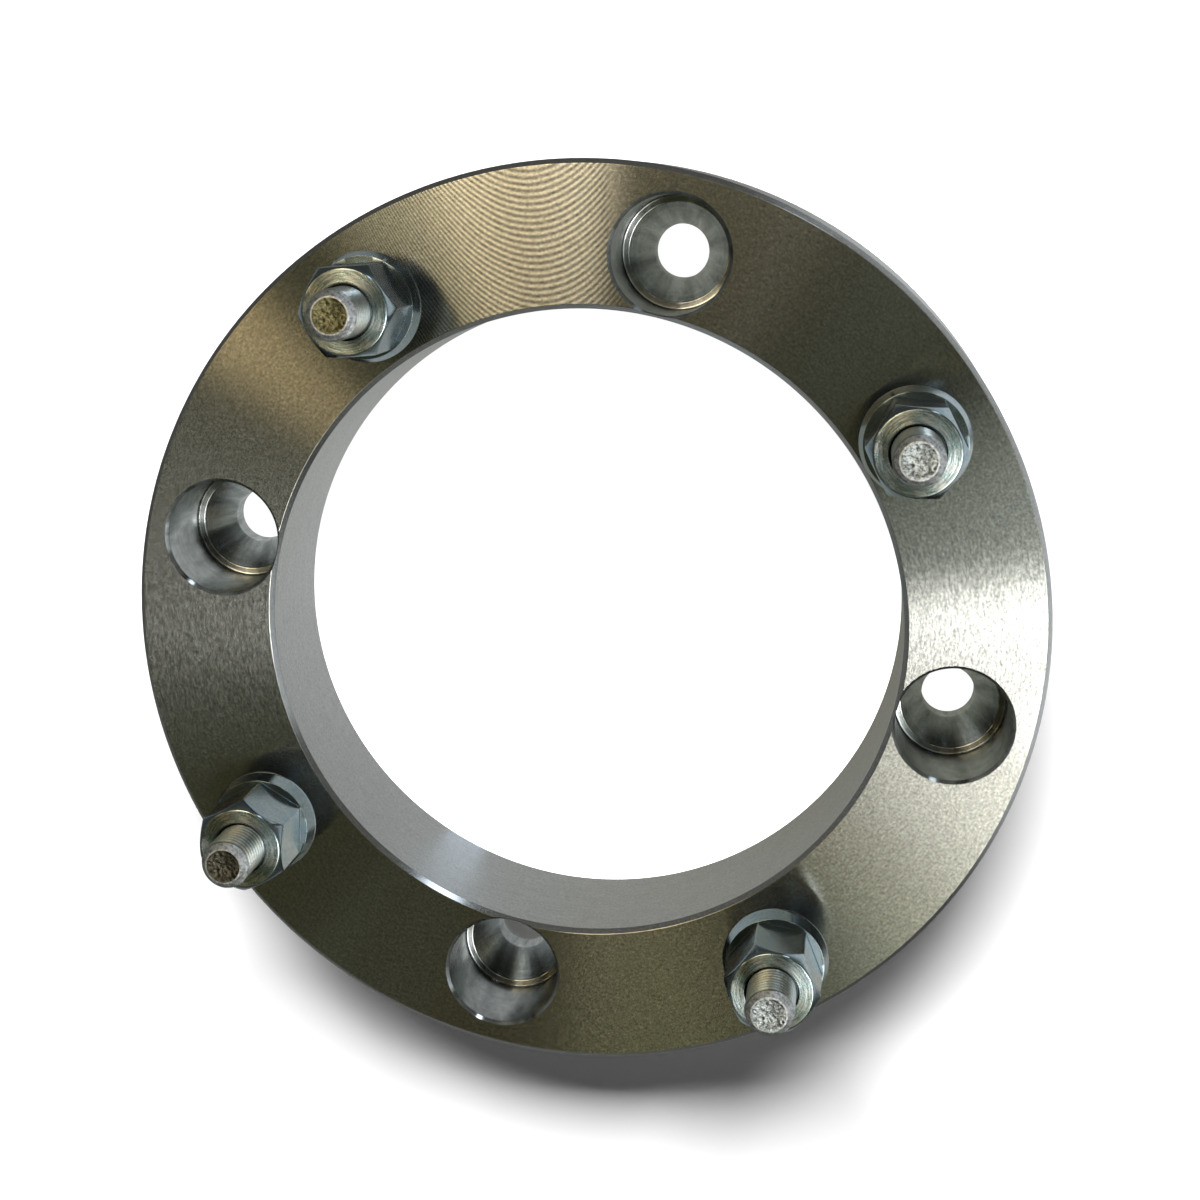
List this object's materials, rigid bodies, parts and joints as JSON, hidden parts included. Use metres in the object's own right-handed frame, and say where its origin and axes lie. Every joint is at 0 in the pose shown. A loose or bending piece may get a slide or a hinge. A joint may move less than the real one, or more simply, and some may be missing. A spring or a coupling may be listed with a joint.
{
  "type": "wheel spacer",
  "caption": "Thick aluminium wheel spacer ring with counterbored hub holes between press-fit studs, each stud carrying a conical-seat lug nut.",
  "frame": {"origin": "centre of the hub side face, on the ring's axis", "axes": "+Z along the ring's axis towards the wheel, the way the studs point; +X through one counterbore, +Y through the next"},
  "size_m": [0.1896, 0.1896, 0.0683],
  "materials": {
    "ring_aluminium": "machined, turned faces",
    "stud_zinc": "zinc plated",
    "nut_zinc": "zinc plated"
  },
  "bodies": {
    "root": {"spacer_ring": "ring_aluminium", "wheel_stud_1": "stud_zinc", "wheel_stud_2": "stud_zinc", "wheel_stud_3": "stud_zinc", "wheel_stud_4": "stud_zinc", "lug_nut_1": "nut_zinc", "lug_nut_2": "nut_zinc", "lug_nut_3": "nut_zinc", "lug_nut_4": "nut_zinc"}
  },
  "joints": []
}
